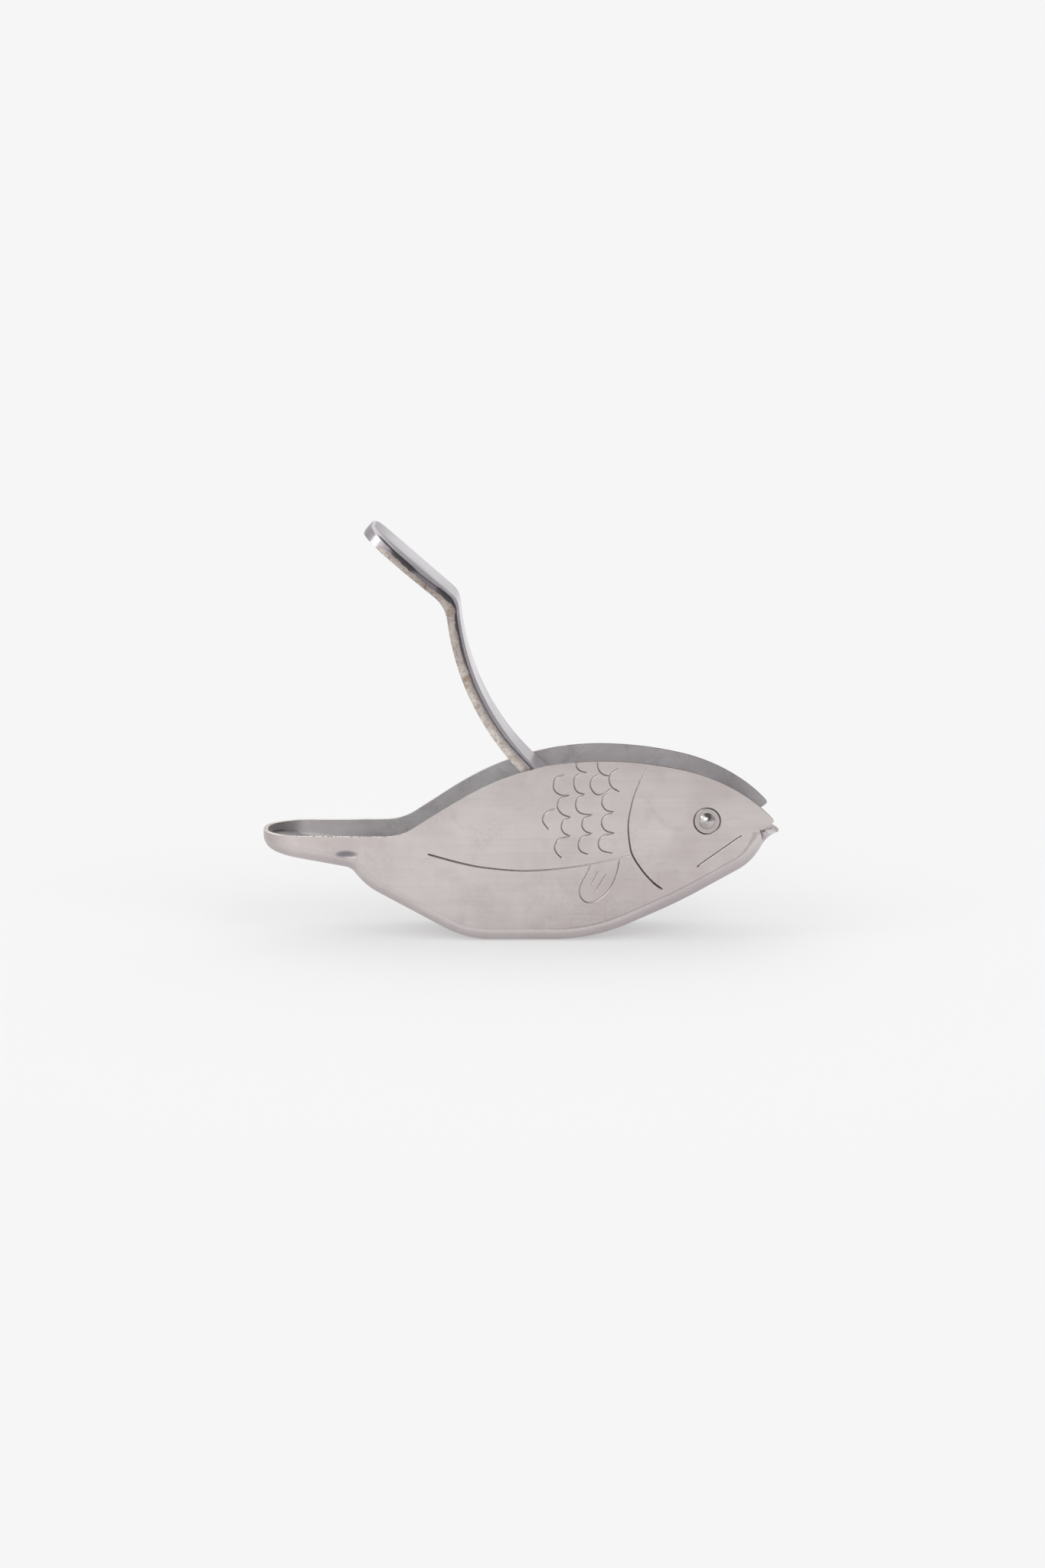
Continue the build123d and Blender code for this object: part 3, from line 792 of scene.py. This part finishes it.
def polishedStrip(look):
    # polished faces, and sides with painted shade above the tear, darkest on the pad
    material, board = newMaterial("polishedStrip")
    place = board.place()
    x, z = board.axes(place, "XZ")
    onPad = board.ramp(z, kneeReach(), mm)
    armDepth, padDepth = stripDepths(x, z)
    depth = armDepth * (1 - onPad) + padDepth * onPad
    below = depth - (look["burnish"] + onPad * look["padBurnish"])
    wave = (board.noise(place, look["wave"]) - 0.5) * look["waveShare"]
    side = board.ramp(abs(board.facing("Y")), look["side"])
    torn = board.ramp(below + wave, look["tear"]) * side
    upper = board.ramp(z, look["upperZ"], mm)
    cloud = board.noise(place, look["cloud"])
    grit = board.noise(place, look["grit"])
    blotch = board.noise(place, look["blotch"])
    polish = board.noise(place, look["polish"])
    tone = board.blend(board.ramp(cloud, look["hazeTone"]), look["top"], look["haze"])
    # painted shade on the sides, darker higher up the arm and on the pad
    film = board.blend(upper, look["film"], look["padSideShade"])
    tone = board.blend(side * look["sideShadeShow"], tone, film)
    tone = board.blend(torn, tone, tornTone(board, look, place, upper, below, grit, blotch))
    worn = 1 - board.ramp(x, look["wornX"], mm)
    rough = (look["rough"] + cloud * look["roughCloud"] + worn * look["roughWorn"]
             + torn * (look["roughTorn"] + grit * look["roughGrit"]))
    height = (torn * (grit * look["gritHeight"] + blotch * look["blotchHeight"])
              + (1 - torn) * polish * look["polishHeight"])
    finishMetal(board, Base_Color=tone, Roughness=rough,
                Normal=board.bump(height, look["bumpStrength"], look["bumpDepth"]))
    return material


def isUnderEdge(edge):
    # the long lower edges of the strip
    look = pressLever["underRound"]
    middle = (edge.verts[0].co + edge.verts[1].co) / 2
    armDepth, padDepth = stripDepths(middle.x, middle.z)
    onArm = middle.z > look["aboveZ"] * mm and abs(armDepth - 1) < look["within"]
    onPad = middle.x < pressLever["kneeUnder"][0] * mm and abs(padDepth - 1) < look["within"]
    return onArm or onPad


def crownTop(piece):
    # cuts the upper face along its length and sinks it towards both edges
    crown = pressLever["crown"]
    form = bmesh.new()
    form.from_mesh(piece.data)
    for cut in crown["cuts"]:
        for side in (-1, 1):
            bmesh.ops.bisect_plane(form, geom=form.verts[:] + form.edges[:] + form.faces[:],
                                   plane_co=(0, side * cut * mm, 0), plane_no=(0, 1, 0),
                                   dist=crown["snap"] * mm)
    curve = crown["slope"] / (2 * (crown["edge"] - crown["from"]))
    centreX, centreZ = [part * mm for part in pressLever["armCentre"]]
    slope = math.radians(pressLever["padSlope"])
    padDown = Vector((-math.sin(slope), 0, -math.cos(slope)))
    lowZ, highZ = [part * mm for part in crown["fadeZ"]]
    kneeLow, kneeHigh = [part * mm for part in kneeReach()]
    for vert in form.verts:
        away = abs(vert.co.y) / mm - crown["from"]
        fade = share(vert.co.z, lowZ, highZ)
        if away <= 0 or not fade:
            continue
        onPad = share(vert.co.z, kneeLow, kneeHigh)
        armDepth, padDepth = stripDepths(vert.co.x, vert.co.z)
        if armDepth * (1 - onPad) + padDepth * onPad > crown["upperShare"]:
            continue
        armDown = Vector((vert.co.x - centreX, 0, vert.co.z - centreZ)).normalized()
        vert.co += armDown.lerp(padDown, onPad) * curve * away ** 2 * fade * mm
    form.to_mesh(piece.data)
    form.free()


lever = copyOf("lever", "press_lever")
lever.data.materials.append(polishedStrip(pressLever["finish"]))
roundEdges(lever, isUnderEdge, pressLever["underRound"])
crownTop(lever)
shadeByAngle(lever)
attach(lever, "lever")
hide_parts("lever")
print("lever made")

# the pin, whose domed ends are the pupils
hingePin = {
    "light": colour(206, 202, 202), "dark": colour(184, 178, 176),
    "cloud": (500.0, 3.0, 0.6), "cloudTone": (0.35, 0.7),
    "scratch": (3500.0, 3.0, 0.6), "scratchStretch": (1.0, 1.0, 0.15),
    "rough": 0.14, "roughCloud": 0.08, "roughScratch": 0.05,
    "bumpStrength": 0.25, "bumpDepth": 0.01,
}


def turnedPin(look):
    material, board = newMaterial("turnedPin")
    place = board.place()
    cloud = board.noise(place, look["cloud"])
    scratch = board.noise(board.stretch(place, look["scratchStretch"]), look["scratch"])
    tone = board.blend(board.ramp(cloud, look["cloudTone"]), look["light"], look["dark"])
    rough = look["rough"] + cloud * look["roughCloud"] + scratch * look["roughScratch"]
    finishMetal(board, Base_Color=tone, Roughness=rough,
                Normal=board.bump(scratch, look["bumpStrength"], look["bumpDepth"]))
    return material


# the washers between the walls and the ears
spacers = {
    "names": ("near_spacer", "far_spacer"),
    "light": colour(176, 170, 168), "dark": colour(150, 144, 142), "cloud": (400.0, 3.0, 0.6),
    "ridges": (2400.0, 3.0, 0.6), "ridgeStretch": (0.2, 1.0, 1.0),
    "rough": 0.32, "roughRidges": 0.2, "bumpStrength": 0.4, "bumpDepth": 0.012,
}


def plainWasher(look):
    material, board = newMaterial("plainWasher")
    place = board.place()
    ridges = board.noise(board.stretch(place, look["ridgeStretch"]), look["ridges"])
    tone = board.blend(board.noise(place, look["cloud"]), look["light"], look["dark"])
    finishMetal(board, Base_Color=tone, Roughness=look["rough"] + ridges * look["roughRidges"],
                Normal=board.bump(ridges, look["bumpStrength"], look["bumpDepth"]))
    return material


frame["nodes"]["hinge_pin"].data.materials[0] = turnedPin(hingePin)
washerMetal = plainWasher(spacers)
for name in spacers["names"]:
    frame["nodes"][name].data.materials[0] = washerMetal
print("pin and spacers finished")

# the paper that it stands on, with lengths and pairs of lengths in metres
paper = {
    "tone": colour(246, 246, 246), "albedo": (0.80, 0.80, 0.80, 1.0),
    "half": 0.45, "front": -0.28, "back": 8.0, "sunk": 0.00002,
    # how much of the paper shines by itself, and where the shadow on it ends
    "own": 0.42, "ownMirrored": 0.62, "shadowReach": (0.12, 0.22),
    # painted shadow: mirrored close by, the paper shines less, as if in the shade of the body
    "mirrored": 0.68, "mirrorReach": (0.02, 0.18),
}


def paperFloor(look):
    material, board = newMaterial("paperFloor")
    straight = board.straightRays()
    seen = board.most(straight, board.make("ShaderNodeLightPath", out="Is Glossy Ray"))
    x, y = board.axes(board.place(), "XY")
    far = (x ** 2 + y ** 2) ** 0.5
    own = look["own"] * straight + look["ownMirrored"] * (1 - straight)
    own = own + board.ramp(far, look["shadowReach"]) * (1 - own)
    openPaper = board.most(straight, board.ramp(far, look["mirrorReach"]))
    lit = board.make("ShaderNodeBsdfDiffuse", Color=look["albedo"])
    # a painted shadow: the dimmer paper that the metal mirrors close to the body
    shaded = board.make("ShaderNodeEmission", Color=look["tone"], Strength=look["mirrored"])
    bright = board.make("ShaderNodeEmission", Color=look["tone"], Strength=1.0)
    shining = board.make("ShaderNodeMixShader", i0=openPaper, i1=shaded, i2=bright)
    shown = board.make("ShaderNodeMixShader", i0=own, i1=lit, i2=shining)
    both = board.make("ShaderNodeMixShader", i0=seen, i1=lit, i2=shown)
    board.make("ShaderNodeOutputMaterial", Surface=both)
    return material


half, front, back = paper["half"], paper["front"], paper["back"]
floorMesh = bpy.data.meshes.new("floor")
floorMesh.from_pydata([(-half, front, 0), (half, front, 0), (half, back, 0), (-half, back, 0)],
                      [], [(0, 1, 2, 3)])
floor = bpy.data.objects.new("floor", floorMesh)
floor.location.z = -paper["sunk"]
floorMesh.materials.append(paperFloor(paper))
bpy.context.scene.collection.objects.link(floor)

# the room: pale all round, with panels that the metal mirrors
studio = {
    "tone": colour(255, 255, 255), "pale": 0.92,
    # the way each panel lies, its half width and half height there, and its brightness
    "panels": {
        "leftWall": ((-0.90, 0.35, 0.20), (0.60, 0.60), 0.36),
        "rightLow": ((1.0, -0.05, -0.08), (0.90, 0.11), 0.38),
        "rightWall": ((0.95, 0.15, 0.42), (0.60, 0.46), 0.42),
        "backRight": ((0.70, 0.70, 0.25), (0.70, 0.36), 0.36),
        "backLeft": ((-0.50, 0.86, 0.12), (0.40, 0.34), 0.45),
        "frontRightLow": ((0.74, -0.66, 0.16), (0.50, 0.22), 0.44),
        "frontRightHigh": ((0.46, -0.66, 0.60), (0.44, 0.24), 0.10),
        "frontRightMid": ((0.42, -0.86, 0.28), (0.26, 0.20), 0.13),
        "topDim": ((0.14, -0.34, 0.93), (0.66, 0.50), 0.14),
        "frontFill": ((-0.30, -0.88, 0.36), (0.40, 0.28), 1.9),
        "frontLow": ((0.24, -0.97, 0.06), (0.34, 0.14), 0.22),
        "cameraSide": ((0.0, -0.97, -0.20), (0.80, 0.13), 0.22),
        "leftBox": ((-0.80, -0.26, 0.52), (0.16, 0.16), 3.2),
    },
    # a panel's soft edge as shares of its half size; it ends before it would wrap round behind
    "edge": (0.8, 1.2), "ahead": (0.05, 0.15), "leastAhead": 0.02,
    "suns": {
        "shadowSun": {"from": (0.55, -0.62, 0.56), "power": 0.9, "spread": 50.0},
        "skySun": {"from": (0.0, 0.0, 1.0), "power": 1.2, "spread": 150.0},
    },
}


def studioWorld(look):
    world = bpy.data.worlds.new("studio")
    world.use_nodes = True
    bpy.context.scene.world = world
    board = Board(world.node_tree)
    x, y, z = board.axes(board.make("ShaderNodeTexCoord", out="Generated"))
    level = look["pale"]
    for way, (wide, tall), strength in look["panels"].values():
        centre = Vector(way).normalized()
        aside = Vector((0, 0, 1)).cross(centre).normalized()
        up = centre.cross(aside)
        ahead, across, high = [x * axis.x + y * axis.y + z * axis.z
                               for axis in (centre, aside, up)]
        reach = board.most(ahead, look["leastAhead"])
        panel = board.ramp(ahead, look["ahead"])
        for part, size in ((across, wide), (high, tall)):
            panel = panel * (1 - board.ramp(abs(part / reach), look["edge"], size))
        level = level * (1 - panel) + strength * panel
    room = board.make("ShaderNodeBackground", Color=look["tone"], Strength=level)
    backdrop = board.make("ShaderNodeBackground", Color=paper["tone"], Strength=1.0)
    both = board.make("ShaderNodeMixShader", i0=board.straightRays(), i1=room, i2=backdrop)
    board.make("ShaderNodeOutputWorld", Surface=both)


def addSun(name, look):
    # lights the paper and dull surfaces; the metal does not mirror it
    light = bpy.data.lights.new(name, "SUN")
    light.energy = look["power"]
    light.angle = math.radians(look["spread"])
    sun = bpy.data.objects.new(name, light)
    sun.rotation_euler = Vector(look["from"]).to_track_quat("Z", "Y").to_euler()
    sun.visible_glossy = False
    bpy.context.scene.collection.objects.link(sun)


studioWorld(studio)
for name, look in studio["suns"].items():
    addSun(name, look)
print("stage and light set")

# the camera: where it aims, how far away and how many degrees up it stands, lens and film in mm
sight = {"aim": (-0.607, 0.0, 34.059), "away": 800, "raise": 10.9, "lens": 80.86, "film": 36.0,
         "farthest": 100000}
tilt = math.radians(sight["raise"])
towards = Vector((0, -math.cos(tilt), math.sin(tilt)))
camera = bpy.data.objects.new("camera", bpy.data.cameras.new("camera"))
camera.location = Vector([part * mm for part in sight["aim"]]) + sight["away"] * mm * towards
camera.rotation_euler = (math.pi / 2 - tilt, 0, 0)
camera.data.lens = sight["lens"]
camera.data.sensor_width = sight["film"]
camera.data.clip_end = sight["farthest"] * mm
bpy.context.scene.collection.objects.link(camera)
bpy.context.scene.camera = camera
bpy.context.scene.view_settings.view_transform = "Standard"
print("camera set")
